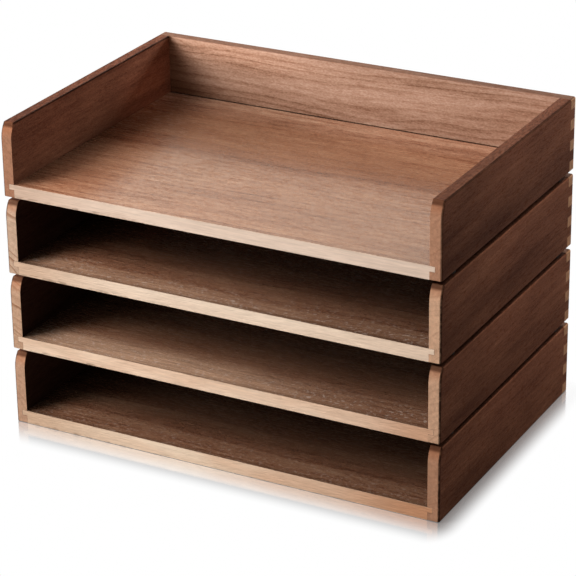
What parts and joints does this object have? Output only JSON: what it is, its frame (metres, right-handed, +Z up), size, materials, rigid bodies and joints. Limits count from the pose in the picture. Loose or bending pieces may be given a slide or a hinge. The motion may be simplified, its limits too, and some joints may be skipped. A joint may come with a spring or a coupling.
{
  "type": "stacking desk tray set",
  "caption": "Stack of open-front wooden letter trays with finger-jointed rear corners, rounded front shoulders and small pads between the trays.",
  "frame": {"origin": "middle of the bottom tray's underside, on the surface that the stack stands on", "axes": "+X to the right seen from the open front, +Y from the open front to the back boards, +Z up"},
  "size_m": [0.345, 0.23, 0.236],
  "materials": {
    "walnut_boards": "oiled walnut, satin",
    "walnut_panel": "oiled walnut, satin",
    "pads": "black rubber, matte"
  },
  "bodies": {
    "bottom_tray": {"bottom_left_side": "walnut_boards", "bottom_right_side": "walnut_boards", "bottom_back": "walnut_boards", "bottom_panel": "walnut_panel"},
    "lower_tray": {"lower_left_side": "walnut_boards", "lower_right_side": "walnut_boards", "lower_back": "walnut_boards", "lower_panel": "walnut_panel", "lower_pad_front_left": "pads", "lower_pad_rear_left": "pads", "lower_pad_front_right": "pads", "lower_pad_rear_right": "pads"},
    "upper_tray": {"upper_left_side": "walnut_boards", "upper_right_side": "walnut_boards", "upper_back": "walnut_boards", "upper_panel": "walnut_panel", "upper_pad_front_left": "pads", "upper_pad_rear_left": "pads", "upper_pad_front_right": "pads", "upper_pad_rear_right": "pads"},
    "top_tray": {"top_left_side": "walnut_boards", "top_right_side": "walnut_boards", "top_back": "walnut_boards", "top_panel": "walnut_panel", "top_pad_front_left": "pads", "top_pad_rear_left": "pads", "top_pad_front_right": "pads", "top_pad_rear_right": "pads"}
  },
  "joints": [
    {"name": "lift_lower_tray", "type": "slide", "parent": "bottom_tray", "child": "lower_tray", "axis": [0, 0, 1], "range_m": [0, 0.08]},
    {"name": "lift_upper_tray", "type": "slide", "parent": "lower_tray", "child": "upper_tray", "axis": [0, 0, 1], "range_m": [0, 0.08]},
    {"name": "lift_top_tray", "type": "slide", "parent": "upper_tray", "child": "top_tray", "axis": [0, 0, 1], "range_m": [0, 0.08]}
  ]
}
